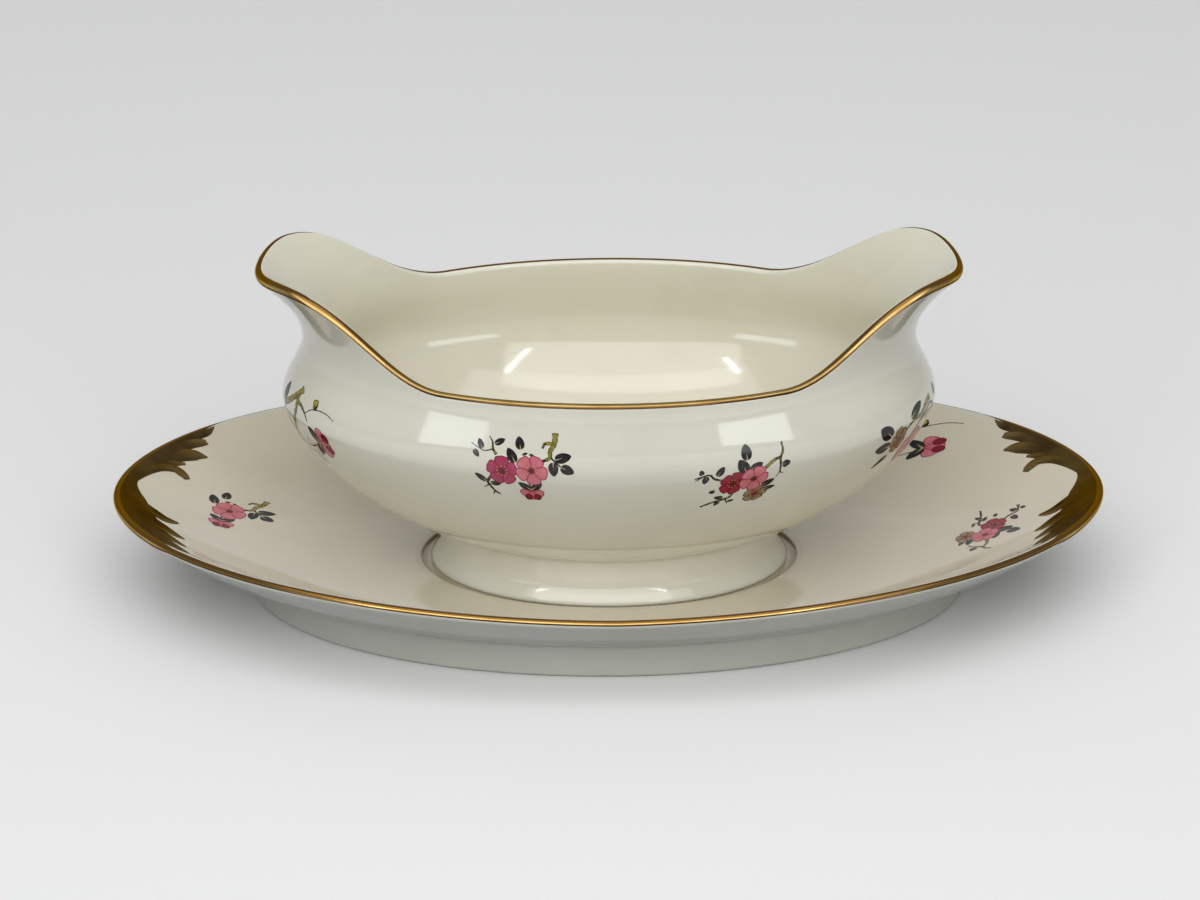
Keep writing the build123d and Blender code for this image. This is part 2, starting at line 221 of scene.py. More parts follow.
def stand_shape(level):
    level = np.maximum(level, 0)
    return (
        blend(WELL[0] + WELL_SHOULDER, (STAND_LENGTH - STAND_LIP_WALL) / 2, level),
        blend(WELL[1] + WELL_SHOULDER, (STAND_WIDTH - STAND_LIP_WALL) / 2, level),
        blend(STAND_FLOOR_HEIGHT, STAND_TIP_HEIGHT, level ** DISH_POWER),
        blend(ELLIPSE, STAND_END_HANDLE, level),
        blend(ELLIPSE, STAND_SIDE_HANDLE, level),
    )


def stand_rim(x):
    share = np.minimum(np.abs(x) / (STAND_LENGTH / 2), 1)
    return blend(STAND_SIDE_HEIGHT, STAND_TIP_HEIGHT, np.sin(np.pi / 2 * share) ** STAND_RIM_POWER)


BOAT = Wall(
    boat_shape, boat_rim, NECK_HEIGHT, 1.05 * LIP_CREST_HEIGHT,
    lambda rise: 0 * rise, lambda rise: -blend(BOAT_WALL, BOAT_LIP_WALL, rise ** 2),
)
STAND = Wall(
    stand_shape, stand_rim, 0, 1.2,
    lambda rise: blend(STAND_WALL, STAND_LIP_WALL, rise ** 2), lambda rise: 0 * rise,
)


# ---------------------------------------------------------------- meshes ----
def new_object(name, points, faces, materials, body):
    """A smooth piece of points in mm, on one body of the frame."""
    mesh = bpy.data.meshes.new(name)
    mesh.from_pydata([tuple(p) for p in np.asarray(points) * MM], [], faces)
    mesh.update()
    mesh.shade_smooth()
    for material in materials:
        mesh.materials.append(material)
    piece = bpy.data.objects.new(name, mesh)
    bpy.context.scene.collection.objects.link(piece)
    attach(piece, body)
    return piece


def add_map(mesh, name, pairs):
    """A map of the mesh's own, from a pair of numbers for each of its points."""
    corners = np.array([corner.vertex_index for corner in mesh.loops])
    layer = mesh.uv_layers.new(name=name)
    layer.data.foreach_set("uv", pairs[corners].ravel())


def band(row, count):
    """Faces between a closed row of points and the next one."""
    low, high, after = row * count, (row + 1) * count, [*range(1, count), 0]
    return [(low + i, low + j, high + j, high + i) for i, j in enumerate(after)]


def ring_oval(half_sizes, out, height):
    """A level ring: an ellipse with both half sizes made larger by out."""
    turn, side, face = quarters(AROUND)
    x, y = oval(half_sizes[0] + out, half_sizes[1] + out, turn)
    return np.stack([x * side, y * face, np.full_like(x, height)], -1)


def through(rings, steps):
    """Rings on a smooth surface through a few given ones."""
    keys = [2 * rings[0] - rings[1]] + list(rings) + [2 * rings[-1] - rings[-2]]
    filled = []
    for a, b, c, d in zip(keys, keys[1:], keys[2:], keys[3:]):
        for step in range(steps):
            t = step / steps
            filled.append(
                b + 0.5 * t * (c - a + t * (2 * a - 5 * b + 4 * c - d + t * (3 * (b - c) + d - a)))
            )
    return filled + [rings[-1]]


def arc(half_sizes, centre, radius, start, end, steps=6):
    """Rings on a round edge about a ring of centres (out, height)."""
    angles = np.radians(np.linspace(start, end, steps + 1))
    return [
        ring_oval(half_sizes, centre[0] + radius * math.cos(a), centre[1] + radius * math.sin(a))
        for a in angles
    ]


def turned(name, stretches, body):
    """A closed mesh of rings.  Each stretch is a material and its rings; the
    first and last ring are closed by fans."""
    rings, wear, materials = [], [], []
    for material, stretch in stretches:
        if material not in materials:
            materials.append(material)
        for ring in stretch if not rings else stretch[1:]:
            if rings:
                wear.append(materials.index(material))
            rings.append(ring)
    points = np.concatenate(rings + [rings[0].mean(0)[None], rings[-1].mean(0)[None]])
    under, over, last = len(points) - 2, len(points) - 1, (len(rings) - 1) * COLUMNS
    faces, indices = [], []
    for row, index in enumerate(wear):
        faces += band(row, COLUMNS)
        indices += [index] * COLUMNS
    faces += [(under, (i + 1) % COLUMNS, i) for i in range(COLUMNS)]
    faces += [(over, last + i, last + (i + 1) % COLUMNS) for i in range(COLUMNS)]
    indices += [wear[0]] * COLUMNS + [wear[-1]] * COLUMNS
    piece = new_object(name, points, faces, materials, body)
    piece.data.polygons.foreach_set("material_index", indices)
    piece.data.set_sharp_from_angle(angle=math.radians(42))
    return piece


def foot_rings(outer, wall, base, top_inside):
    """A foot's inner face, the flat edge that it stands on, and its outer edge."""
    edge = EDGE_ROUND
    inner = arc(outer, (edge - wall, base + edge), edge, 180, 270)
    outer_edge = arc(outer, (-edge, base + edge), edge, -90, 0)
    return [ring_oval(outer, -wall, top_inside)] + inner, [inner[-1], outer_edge[0]], outer_edge


def rises(low, high, count):
    return [blend(low, high, i / count) for i in range(count + 1)]


def make_boat(outside_glaze, inside_glaze, bisque):
    """The boat from the hollow under its foot, over the lip, to its floor."""
    floor_inset, floor_dishing = 8, 0.15
    base, neck_top = BOAT_BASE, BOAT_BASE + NECK_HEIGHT
    foot, neck = (FOOT_LENGTH / 2, FOOT_WIDTH / 2), (NECK_LENGTH / 2, NECK_WIDTH / 2)
    waist = [blend(foot[i], neck[i], FOOT_FLARE) for i in (0, 1)]
    inner, flat, edge = foot_rings(foot, FOOT_WALL, base, neck_top - FOOT_ROOF_EDGE)
    roof = [ring_oval(neck, -FOOT_WALL - FOOT_ROOF_EDGE, neck_top), inner[0]]
    round_ = BOAT_JOINT_ROUND
    joint = arc(neck, (round_, neck_top - round_), round_, 180, 90)
    face = through([edge[-1], ring_oval(waist, 0, base + FOOT_WAIST * NECK_HEIGHT), joint[0]], 6)
    climb = rises(0.02, 1, 84)
    outside = through([joint[-1], BOAT.face(AROUND, climb[0])], 3)
    outside += [BOAT.face(AROUND, rise) for rise in climb[1:]]
    lip = [BOAT.lip_point(AROUND, degrees) for degrees in LIP_ANGLES]
    inside = [BOAT.face(AROUND, rise, inside=True) for rise in reversed(climb[1:])]
    floor_top = neck_top + BOAT_WALL
    edge_of_floor = ring_oval(neck, 0, floor_top + floor_dishing)
    floor = through([inside[-1], edge_of_floor, ring_oval(neck, -floor_inset, floor_top)], 6)
    return turned("boat_porcelain", [
        (outside_glaze, roof), (outside_glaze, inner), (bisque, flat), (outside_glaze, edge),
        (outside_glaze, face), (outside_glaze, joint), (outside_glaze, outside),
        (outside_glaze, lip), (inside_glaze, inside), (inside_glaze, floor),
    ], "boat_body")


def ring_rise(out):
    """Rise at which the stand's wall is as far out as its foot ring and more."""
    floor = WELL[0] + WELL_SHOULDER
    return (RING_LENGTH / 2 + out - floor) / (STAND_LENGTH / 2 - floor)


def make_stand(under_glaze, upper_glaze, well_glaze, bisque):
    """The stand from its underside, over the lip, to the floor of its well."""
    well_brow, well_inset = 0.3, 6
    under = STAND_FLOOR_HEIGHT - STAND_WALL
    ring = (RING_LENGTH / 2, RING_WIDTH / 2)
    inner_rise = ring_rise(-RING_WALL - RING_JOINT_SLOPE)
    outer_rise = ring_rise(RING_TAPER + RING_JOINT_ROUND)
    beneath = [ring_oval(WELL, 0, under)]
    beneath += [STAND.face(AROUND, rise) for rise in rises(0.1 * inner_rise, inner_rise, 12)]
    inner, flat, edge = foot_rings(ring, RING_WALL, 0, under + RING_JOINT_ROUND / 2)
    slope = [beneath[-1], inner[0]]
    start = STAND.face(AROUND, outer_rise)
    shoulder = ring_oval(ring, RING_TAPER, STAND.face(0.0, outer_rise)[2] - RING_JOINT_ROUND)
    out, up = blend(shoulder, start, 0.3), blend(shoulder, start, 0.7)
    hollow = np.concatenate([out[:, :2], up[:, 2:]], 1)
    joint = through([shoulder, hollow, start], 4)
    outside = [STAND.face(AROUND, rise) for rise in rises(outer_rise, 1, 24)]
    lip = [STAND.lip_point(AROUND, degrees) for degrees in LIP_ANGLES]
    upper = [STAND.face(AROUND, rise, inside=True) for rise in rises(1, 0.03, 64)]
    upper += [ring_oval(WELL, WELL_SHOULDER, STAND_FLOOR_HEIGHT)]
    brow = arc(WELL, (well_brow, STAND_FLOOR_HEIGHT - well_brow), well_brow, 90, 180, 3)
    well_floor = [ring_oval(WELL, out, WELL_FLOOR_HEIGHT) for out in (0, -well_inset)]
    well = [upper[-1]] + brow + well_floor
    return turned("stand_porcelain", [
        (under_glaze, beneath), (under_glaze, slope), (under_glaze, inner), (bisque, flat),
        (under_glaze, edge), (under_glaze, [edge[-1], shoulder]), (under_glaze, joint),
        (under_glaze, outside), (under_glaze, lip), (upper_glaze, upper), (well_glaze, well),
    ], "stand_body")


# -------------------------------------------------- gold and painted work ----
GOLD_LIFT, GOLD_TUCK = 0.035, 0.02      # off the glaze, and into it at a line's edges
PAINT_LIFT, LEVEL_LIFT = 0.03, 0.006    # of the lowest shape, and of each one over it
PAINT_STEP = 0.7          # spacing of the points inside a painted shape
PATCH_REACH, PATCH_POINTS = 1.5, 400    # round the oval to each side, and points up the wall


def lengths(line):
    """Length of a line of points from its start to each of them."""
    steps = np.linalg.norm(np.diff(line, axis=0), axis=1)
    return np.concatenate([[0], np.cumsum(steps)])


class Patch:
    """A flat drawing laid on a wall.  x runs to the right and y up as one
    faces the wall from its own side, in mm from a centre on the wall."""

    def __init__(self, wall, around, rise, inside=False, turn=0.0, size=1.0):
        self.wall, self.inside = wall, inside
        self.turn, self.size = math.radians(turn), size
        self.around = around + np.linspace(-PATCH_REACH, PATCH_REACH, 3 * PATCH_POINTS + 1)
        self.along = lengths(wall.face(self.around, rise, inside))
        self.along -= np.interp(around, self.around, self.along)
        self.rises = np.linspace(0.01, 1.0, PATCH_POINTS)
        self.height = lengths(wall.face(np.full(PATCH_POINTS, around), self.rises, inside))
        self.height -= np.interp(rise, self.rises, self.height)

    def wall_place(self, flat):
        flat = np.asarray(flat, float) * self.size
        cos, sin = math.cos(self.turn), math.sin(self.turn)
        x = flat[:, 0] * cos - flat[:, 1] * sin
        y = flat[:, 0] * sin + flat[:, 1] * cos
        if self.inside:
            x = -x
        return np.interp(x, self.along, self.around), np.interp(y, self.height, self.rises)

    def lay(self, flat, lift):
        """Places and normals of drawing points, lifted off the wall."""
        around, rise = self.wall_place(flat)
        places = self.wall.face(around, rise, self.inside, lift)
        out = self.wall.directions(around, rise)[1]
        return places, -out if self.inside else out


def edge_distance(points, outline):
    """Distance of each point from a closed outline."""
    start, end = outline, np.roll(outline, -1, axis=0)
    along = end - start
    share = ((points[:, None] - start) * along).sum(-1) / np.maximum((along ** 2).sum(-1), 1e-9)
    near = start + clip(share)[..., None] * along
    return np.linalg.norm(points[:, None] - near, axis=-1).min(1)


def fill_outline(outline, step):
    """Points and triangles that fill a closed outline."""
    low, high = outline.min(0), outline.max(0)
    grid = [
        (x + (row % 2) * step / 2, y)
        for row, y in enumerate(np.arange(low[1], high[1], step * 0.87))
        for x in np.arange(low[0], high[0], step)
    ]
    grid = np.array(grid).reshape(-1, 2)
    if len(grid):
        grid = grid[edge_distance(grid, outline) > step * 0.4]
    points = [Vector(p) for p in np.concatenate([outline, grid])]
    made = delaunay_2d_cdt(points, [], [list(range(len(outline)))], 1, 1e-5)
    return np.array([tuple(p) for p in made[0]]), [tuple(face) for face in made[2]]


class Painting:
    """A mesh of flat painted shapes on one patch of a wall."""

    def __init__(self, name, patch, body, slot):
        self.name, self.patch, self.body, self.slot = name, patch, body, slot
        self.points, self.normals, self.faces = [], [], []
        self.inks, self.face_inks, self.maps = [], [], []

    def shape(self, outline, ink, level=0, centre=(0, 0), reach=1.0, angle=0.0, step=PAINT_STEP):
        """One shape.  Its map named own runs along angle from centre, and from
        0 to 1 over reach.  The one named edge has the distance from the outline
        and a number that differs from shape to shape."""
        outline = np.asarray(outline, float)
        flat, faces = fill_outline(outline, step)
        places, normals = self.patch.lay(flat, PAINT_LIFT + LEVEL_LIFT * level)
        if ink not in self.inks:
            self.inks.append(ink)
        base = sum(len(p) for p in self.points)
        away = flat - np.asarray(centre)
        cos, sin = math.cos(math.radians(angle)), math.sin(math.radians(angle))
        along = (away[:, 0] * cos + away[:, 1] * sin) / reach
        across = (away[:, 1] * cos - away[:, 0] * sin) / reach
        number = np.full(len(flat), ((len(self.maps) + 1) * 0.37) % 1.0)
        self.maps.append(np.stack([along, across, edge_distance(flat, outline), number], 1))
        self.points.append(places)
        self.normals.append(normals)
        self.faces += [tuple(base + i for i in face) for face in faces]
        self.face_inks += [self.inks.index(ink)] * len(faces)

    def finish(self):
        points, maps = np.concatenate(self.points), np.concatenate(self.maps)
        normals = np.concatenate(self.normals)
        faces = []
        for face in self.faces:
            a, b, c = (points[i] for i in face)
            outward = np.dot(np.cross(b - a, c - a), normals[face[0]]) > 0
            faces.append(face if outward else face[::-1])
        mesh = new_object(self.name, points, faces, self.inks, self.body).data
        mesh.polygons.foreach_set("material_index", self.face_inks)
        add_map(mesh, "own", maps[:, 0:2])
        add_map(mesh, "edge", maps[:, 2:4])
        mesh.normals_split_custom_set_from_vertices([tuple(n) for n in normals])


def turned_points(points, x, y, angle):
    """Points turned about the origin and then moved to x, y."""
    cos, sin = math.cos(math.radians(angle)), math.sin(math.radians(angle))
    return [(x + a * cos - b * sin, y + a * sin + b * cos) for a, b in points]


def tapered(length, width, blunt_start, blunt_end):
    """Outline along x of a leaf or petal: a half width that rises and falls,
    rounder at an end the smaller its number."""
    shares = np.linspace(0, 1, 14)
    peak = blunt_start / (blunt_start + blunt_end)
    top = peak ** blunt_start * (1 - peak) ** blunt_end
    half = shares ** blunt_start * (1 - shares) ** blunt_end / top * width / 2
    upper = [(length * share, h) for share, h in zip(shares, half)]
    return upper + [(x, -y) for x, y in reversed(upper[1:-1])]


def disc(x, y, radius, steps=10):
    angles = np.arange(steps) * 2 * math.pi / steps
    return [(x + radius * math.cos(a), y + radius * math.sin(a)) for a in angles]


def ribbon(points, knots=0.0):
    """Outline of a line through (x, y, width) points.  knots makes it swell
    and narrow like a twig."""
    line = through([np.asarray(point, float) for point in points], 6)
    left, right = [], []
    for i, (x, y, width) in enumerate(line):
        before, after = line[max(i - 1, 0)], line[min(i + 1, len(line) - 1)]
        along = unit((after - before)[:2])
        half = width / 2 * (1 + knots * math.sin(i * 1.9))
        left.append((x - along[1] * half, y + along[0] * half))
        right.append((x + along[1] * half, y - along[0] * half))
    return left + right[::-1]


class Spray(Painting):
    """A spray of blossom.  Points are (x, y) in mm from its centre."""

    def __init__(self, name, patch, body, slot, inks):
        super().__init__(name, patch, body, slot)
        self.enamels = inks

    def twig(self, points, start_width, end_width):
        widths = np.linspace(start_width, end_width, len(points))
        line = [(x, y, width) for (x, y), width in zip(points, widths)]
        self.shape(ribbon(line, 0.16), self.enamels["twig"], 0, points[0], 1.0, 0, 0.5)

    def leaves(self, *leaves, level=1):
        """Each leaf is its base's x and y, its tip's x and y, and its width."""
        for x, y, tip_x, tip_y, width in leaves:
            length = math.hypot(tip_x - x, tip_y - y)
            angle = math.degrees(math.atan2(tip_y - y, tip_x - x))
            outline = turned_points(tapered(length, width, 0.5, 0.72), x, y, angle)
            self.shape(outline, self.enamels["leaf"], level, (x, y), length, angle)

    def petals(self, ink, x, y, size, angles, level, squeeze=1.0, lean=0.0, wide=0.92):
        """Petals about one point.  squeeze flattens the flower along lean."""
        for i, angle in enumerate(angles):
            petal = turned_points(tapered(size, size * wide, 0.95, 0.4), 0, 0, angle - lean)
            petal = turned_points([(a * squeeze, b) for a, b in petal], x, y, lean)
            self.shape(petal, self.enamels[ink], level + i * 0.3, (x, y), size, angle)

    def blossom(self, ink, x, y, size, turn, level, squeeze=1.0, lean=0.0):
        """An open blossom: five petals, a dark heart and a ring of stamens."""
        self.petals(ink, x, y, size, [turn + 72 * i for i in range(5)], level, squeeze, lean)
        star = []
        for i in range(20):
            angle, reach = math.radians(18 * i), size * (0.27 if i % 2 else 0.15)
            star.append((reach * math.cos(angle) * squeeze, reach * math.sin(angle)))
        heart = turned_points(star, x, y, lean)
        self.shape(heart, self.enamels["heart"], level + 2.4, (x, y), size, 0, 0.4)
        for i in range(9):
            angle = math.radians(turn + 40 * i)
            reach = size * (0.31 + 0.05 * (i % 2))
            at = [(reach * math.cos(angle) * squeeze, reach * math.sin(angle))]
            (dot_x, dot_y), = turned_points(at, x, y, lean)
            dot = disc(dot_x, dot_y, size * 0.045, 6)
            self.shape(dot, self.enamels["stamen"], level + 2.8, (dot_x, dot_y), 1, 0, 0.4)

    def side_blossom(self, x, y, angle, size):
        """A blossom seen from the side, opening along angle: pale petals
        behind, crimson lobes before them, and two leaves at its stalk."""
        self.petals("pale_petal", x, y, size, [angle - 58, angle + 58, angle], 2, wide=0.8)
        crimson = self.enamels["crimson_petal"]
        for side in (-24, 26):
            at = turned_points([(size * 0.78, 0)], x, y, angle + side)[0]
            self.shape(disc(*at, size * 0.32), crimson, 3.5, at, size, angle)
        for side in (1, -1):
            tip = turned_points([(size * 0.62, side * size * 0.9)], x, y, angle + 180)[0]
            self.leaves((x, y, *tip, size * 0.55), level=4)


def paint_pink_end(spray):
    """The right-hand part of the pink spray."""
    spray.twig([(7.1, 8.8), (6.9, 6.4), (6.0, 4.6), (5.9, 3.1), (4.3, 2.2)], 1.35, 0.7)
    spray.twig([(6.9, 6.3), (4.9, 6.3), (4.2, 5.2)], 0.95, 0.5)
    spray.twig([(5.9, 3.3), (6.9, 2.4), (8.4, 1.0)], 0.5, 0.3)
    spray.twig([(0.6, -3.3), (0.8, -5.5)], 0.35, 0.35)
    spray.leaves(
        (-0.7, 4.6, -1.3, 7.7, 2.1), (-1.9, 1.5, -3.7, 4.9, 2.2), (7.0, 2.6, 10.8, 3.7, 2.4),
        (6.6, 2.1, 6.7, -1.4, 2.3), (8.3, 1.0, 11.3, -0.4, 2.4), (-0.4, 3.4, 0.9, 4.0, 0.6),
        (1.2, 3.7, 2.5, 3.3, 0.6),
    )
    spray.blossom("pale_petal", 1.6, -0.2, 3.8, 60, 5)
    spray.side_blossom(0.8, -5.4, -90, 3.1)


def paint_pink_spray(spray):
    """Two open blossoms, a hanging one and three twigs."""
    spray.twig([(-6.3, 3.1), (-7.1, 4.4), (-7.3, 5.9), (-8.1, 7.2)], 0.7, 0.2)
    spray.twig([(-7.1, 4.3), (-9.0, 3.8), (-10.4, 4.3), (-12.3, 5.3)], 0.3, 0.15)
    spray.twig([(-8.0, -2.3), (-9.2, -3.8), (-8.9, -5.0), (-8.1, -6.6), (-7.1, -7.4)], 0.7, 0.5)
    spray.twig([(-8.2, -6.4), (-8.8, -7.5)], 0.4, 0.25)
    spray.twig([(-9.2, -4.8), (-10.6, -5.7)], 0.35, 0.15)
    spray.leaves(
        (-6.8, 5.5, -4.4, 6.8, 1.5), (-9.6, 4.2, -10.6, 6.5, 1.4), (-11.6, 3.9, -10.4, 2.2, 1.3),
        (-9.4, -3.8, -11.8, -1.8, 1.5), (-8.7, -4.2, -6.2, -4.3, 1.3),
    )
    spray.blossom("deep_petal", -5.2, -0.7, 3.7, 16, 2)
    paint_pink_end(spray)


def paint_crimson_spray(spray):
    """A crimson, a pale and an olive blossom, with an arching twig."""
    spray.twig([(4.3, 2.2), (5.7, 3.8), (7.1, 4.4), (7.8, 2.9), (8.4, 0.6)], 1.0, 0.35)
    spray.twig([(8.4, 0.8), (9.4, 0.3)], 0.3, 0.15)
    spray.twig([(8.4, 0.8), (7.9, -0.7)], 0.3, 0.15)
    spray.twig([(7.3, 4.4), (7.7, 6.1), (7.2, 8.2)], 0.7, 0.4)
    spray.twig([(-5.2, -1.0), (-7.3, -0.4), (-8.7, 0.6), (-10.6, 0.0), (-11.9, -0.5)], 0.6, 0.35)
    spray.twig([(-10.4, 0.0), (-11.6, -1.1)], 0.4, 0.2)
    spray.twig([(-1.3, -4.4), (-1.6, -5.9), (-2.9, -6.7), (-5.3, -7.6), (-8.1, -9.1)], 0.75, 0.5)
    spray.twig([(-2.5, -6.7), (-1.5, -8.2)], 0.4, 0.2)
    spray.leaves(
        (-0.6, 4.1, -1.6, 8.0, 2.5), (0.1, 1.0, -2.6, 4.3, 2.6), (0.6, 1.8, 3.3, 3.5, 2.0),
        (5.2, -3.1, 7.9, -1.1, 1.8), (6.2, -4.1, 9.0, -3.2, 1.3), (3.6, -7.3, 4.8, -6.8, 0.6),
        (-6.8, 0.2, -5.8, 2.8, 1.8), (-10.4, 0.5, -11.0, 1.9, 1.2), (-9.2, 0.3, -9.4, -1.9, 1.6),
        (-5.8, -4.2, -7.4, -4.4, 1.1), (-3.2, -6.2, -5.6, -6.1, 1.2), (-3.9, -7.2, -4.7, -8.8, 1.2),
        (-1.9, -7.5, -0.1, -7.0, 0.8), (8.2, 2.7, 10.2, 3.2, 1.9),
    )
    spray.blossom("olive_petal", 4.6, -5.3, 3.1, 20, 1, 0.78, 115)
    spray.blossom("crimson_petal", -2.3, -1.9, 3.3, 80, 3)
    spray.blossom("pale_petal", 2.4, -0.7, 3.5, 3, 6)


def paint_twig_spray(spray):
    """A forked olive twig with a yellow bud, a dark leaf and a side blossom."""
    spray.twig([(-5.0, 6.0), (-7.0, 4.0), (-9.6, 2.0), (-14.0, -0.6)], 1.9, 1.5)
    spray.twig([(-6.4, 3.8), (-5.8, 1.0), (-7.1, -2.9), (-9.7, -6.5), (-10.8, -9.6)], 1.5, 0.7)
    spray.twig([(-6.0, 2.8), (-3.6, 2.2), (-1.6, 1.0), (-0.3, -0.4)], 1.0, 0.3)
    spray.twig([(-1.6, 1.0), (0.5, 2.5), (3.5, 3.2), (6.5, 3.2), (9.2, 2.4)], 0.25, 0.2)
    spray.twig([(-8.9, -5.4), (-6.5, -7.6), (-3.0, -7.8), (1.8, -5.8)], 0.35, 0.3)
    spray.twig([(-10.4, -8.6), (-6.5, -10.2), (-2.2, -9.4)], 0.3, 0.2)
    spray.twig([(-10.6, -9.2), (-9.2, -12.8), (-6.8, -15.6)], 0.3, 0.2)
    spray.leaves(
        (-14.2, 0.2, -13.4, 5.2, 3.0), (-14.6, -3.2, -10.8, -5.8, 1.4), (1.4, 2.9, 2.6, 4.6, 1.5),
    )
    spray.petals("bud", 1.8, 3.1, 2.3, [96], 3, wide=0.85)
    spray.side_blossom(3.2, -4.8, 8, 4.2)


def paint_olive_spray(spray):
    """An olive blossom among three leaves, a pale one and a forked twig."""
    spray.twig([(8.6, 3.4), (5.4, 2.4), (2.8, 1.0), (-1.2, 0.5), (-3.6, -1.0)], 1.5, 0.6)
    spray.twig([(12.4, -0.8), (8.6, 1.8), (3.4, -0.3), (1.5, -1.8), (0.4, -4.4)], 0.8, 0.35)
    spray.leaves(
        (-9.2, -0.9, -13.8, 2.4, 3.4), (-8.6, -3.7, -13.8, -3.1, 3.0), (-7.2, -6.6, -10.8, -9.8, 1.7),
        (-2.3, 1.4, 3.2, 4.0, 2.6), (12.6, 2.2, 13.6, 5.2, 1.6), (-1.6, -7.4, -0.4, -11.2, 1.8),
    )
    spray.blossom("olive_petal", -5.8, -2.8, 3.7, 40, 2, 0.8, 20)
    spray.blossom("pale_petal", 2.6, -7.4, 5.1, 20, 5)


# The angles on the lip, in degrees, between which each line lies, where it is
# narrow and where it is wide.
BOAT_LINE, BOAT_LINE_WIDE = (22, 118), (10, 158)
STAND_LINE, STAND_LINE_WIDE = (50, 135), (15, 187)
LINE_ROWS = 15
SPOUT_START, SPOUT_FADE, SIDE_FADE = 70, 2, 10      # in mm, from the boat's middle
SCROLL_BACK_END, SCROLL_FRONT_END = 0.44, -0.36     # round the rim, from the tip
SCROLL_BACK_FADE, SCROLL_FRONT_FADE = 0.06, 0.05


def boat_spout_share():
    """How wide the boat's line is round its rim: 1 at the spouts, a half along
    the near side and 0 along the far side."""
    x, y, _ = BOAT.surface(RIM_AROUND, 1.0).T
    return blend(clip(-y / SIDE_FADE) / 2, 1, clip((abs(x) - SPOUT_START) / SPOUT_FADE))


def stand_tip_share():
    """How wide the stand's line is round its rim: 1 beside the gilt scrolls at
    its tips and 0 between them."""
    from_right = (RIM_AROUND + 2) % 4 - 2
    to_back = np.where(abs(from_right) < 1, from_right, 2 - RIM_AROUND)
    back = clip((SCROLL_BACK_END - to_back) / SCROLL_BACK_FADE)
    front = clip((to_back - SCROLL_FRONT_END) / SCROLL_FRONT_FADE)
    return back * front


def make_line(name, wall, narrow, wide, wide_share, material, body):
    """A gold line over a lip.  Its map named own has the angle on the lip, as
    a share of a half turn, and the share of the way across the line."""
    low, high = (blend(start, end, wide_share) for start, end in zip(narrow, wide))
    across = np.concatenate([[0], np.linspace(0, 1, LINE_ROWS), [1]])
    lifts = [-GOLD_TUCK] + [GOLD_LIFT] * LINE_ROWS + [-GOLD_TUCK]
    angles = [blend(low, high, share) for share in across]
    rows = [wall.lip_point(RIM_AROUND, angle, lift) for angle, lift in zip(angles, lifts)]
    count = len(RIM_AROUND)
    faces = [face for row in range(len(rows) - 1) for face in band(row, count)]
    piece = new_object(name, np.concatenate(rows), faces, [material], body)
    add_map(piece.data, "own", np.stack([np.concatenate(angles) / 180, np.repeat(across, count)], 1))
    return piece


# The gilt scroll at an end of the stand, as strokes laid over one another.
# Each point is (along the rim from the tip, in from the rim, width) in mm,
# towards the front where the first is positive.
SCROLL = (
    ((-44.6, -0.4, 0.5), (-39, 0.2, 3.2), (-33, 0.8, 4.6), (-27, 1.7, 6.0), (-20, 1.5, 5.8),
     (-13.7, 0.9, 4.6), (-9.5, 0.6, 4.2), (-6, 0.9, 4.8), (-2.6, 1.8, 6.5), (1, 3.0, 8.8),
     (6.4, 3.9, 10.6), (12, 4.4, 11.6), (18, 4.2, 11.2), (24, 3.2, 9.4), (30, 1.6, 6.2), (35, -0.4, 1.6)),
    ((-34, 0.4, 3.0), (-40, 0.5, 3.6), (-43, 0.0, 2.2), (-44.8, -0.4, 0.5)),
    ((-26, 1.8, 2.2), (-33, 2.3, 3.4), (-36.6, 3.2, 3.1), (-38.2, 3.9, 2.0)),
    ((-20, 2.6, 2.0), (-26.6, 4.0, 4.2), (-31.0, 5.8, 4.6), (-33.1, 8.3, 0.8)),
    ((-17, 3.4, 1.4), (-23, 4.9, 2.7), (-26, 7.0, 1.0)),
    ((-8, 2.0, 1.4), (-14, 2.5, 2.8), (-19.0, 4.0, 3.2), (-21.7, 6.8, 3.1), (-21.2, 9.4, 2.6),
     (-20.2, 11.1, 1.4)),
    ((20, 3.4, 2.6), (27, 4.6, 4.2), (31.4, 4.8, 3.0), (33.8, 4.7, 0.9)),
    ((0, 4.5, 2.0), (2.8, 8.0, 4.2), (4.4, 11.4, 4.0), (4.0, 14.0, 2.2), (3.4, 15.3, 0.8)),
    ((6, 5.6, 2.6), (10.4, 9.4, 5.4), (12.8, 12.4, 4.4), (14.0, 15.2, 0.9)),
    ((11.6, 5, 2.6), (17.0, 8.6, 5.4), (20.0, 11.0, 3.8), (21.6, 13.0, 0.9)),
    ((17, 4, 2.6), (23.8, 6.6, 5.0), (28.0, 8.2, 3.4), (30.4, 9.2, 0.9)),
)
PLAIN_REACH = 1000        # so long that the first stroke, the scroll's body, gets no groove


def make_scroll(name, side, ink):
    """The scroll at one end: side is 1 on the right and -1 on the left."""
    patch = Patch(STAND, 0.0 if side > 0 else 2.0, 0.999, inside=True)
    painting = Painting(name, patch, "stand_body", "stand_gold")
    for level, stroke in enumerate(SCROLL):
        outline = [(along * side, -inward) for along, inward in ribbon(stroke)]
        (x, y), (end_x, end_y) = [(at[0] * side, -at[1]) for at in (stroke[0], stroke[-1])]
        reach = math.hypot(end_x - x, end_y - y) if level else PLAIN_REACH
        angle = math.degrees(math.atan2(end_y - y, end_x - x))
        painting.shape(outline, ink, 1 + level, (x, y), reach, angle, 0.8)
    painting.finish()


